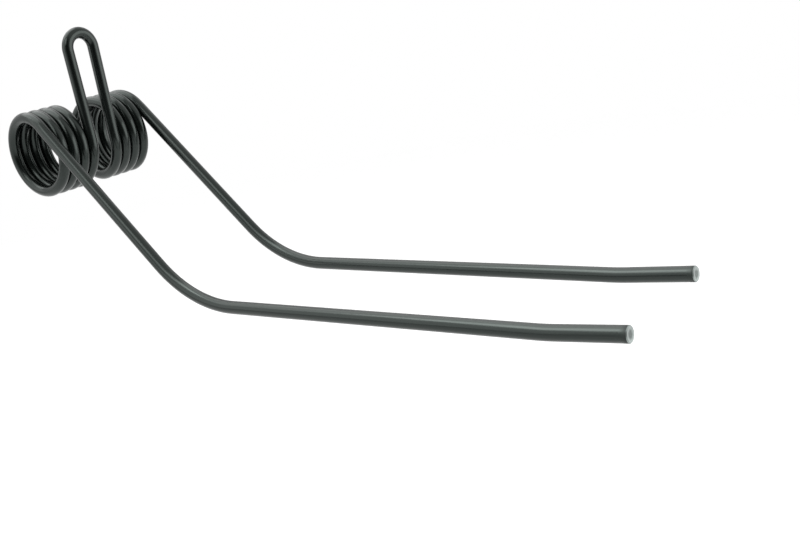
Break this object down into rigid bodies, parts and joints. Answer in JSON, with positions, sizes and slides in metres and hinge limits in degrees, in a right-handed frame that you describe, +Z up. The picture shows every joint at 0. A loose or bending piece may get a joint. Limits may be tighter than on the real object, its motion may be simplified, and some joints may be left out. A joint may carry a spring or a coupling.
{
  "type": "rake tine",
  "caption": "Double spring tine for a hay rake, bent from round wire: a mounting loop between close-wound coils, sloping legs and long tines that lift near their tips.",
  "frame": {"origin": "on the axis of the coils, midway between them", "axes": "+X forward along the tines towards their tips, +Y across the tines along the axis of the coils, +Z up along the mounting loop"},
  "size_m": [0.5215, 0.1118, 0.2212],
  "materials": {
    "lacquered_steel": "satin"
  },
  "bodies": {
    "root": {"tine": "lacquered_steel"}
  },
  "joints": []
}
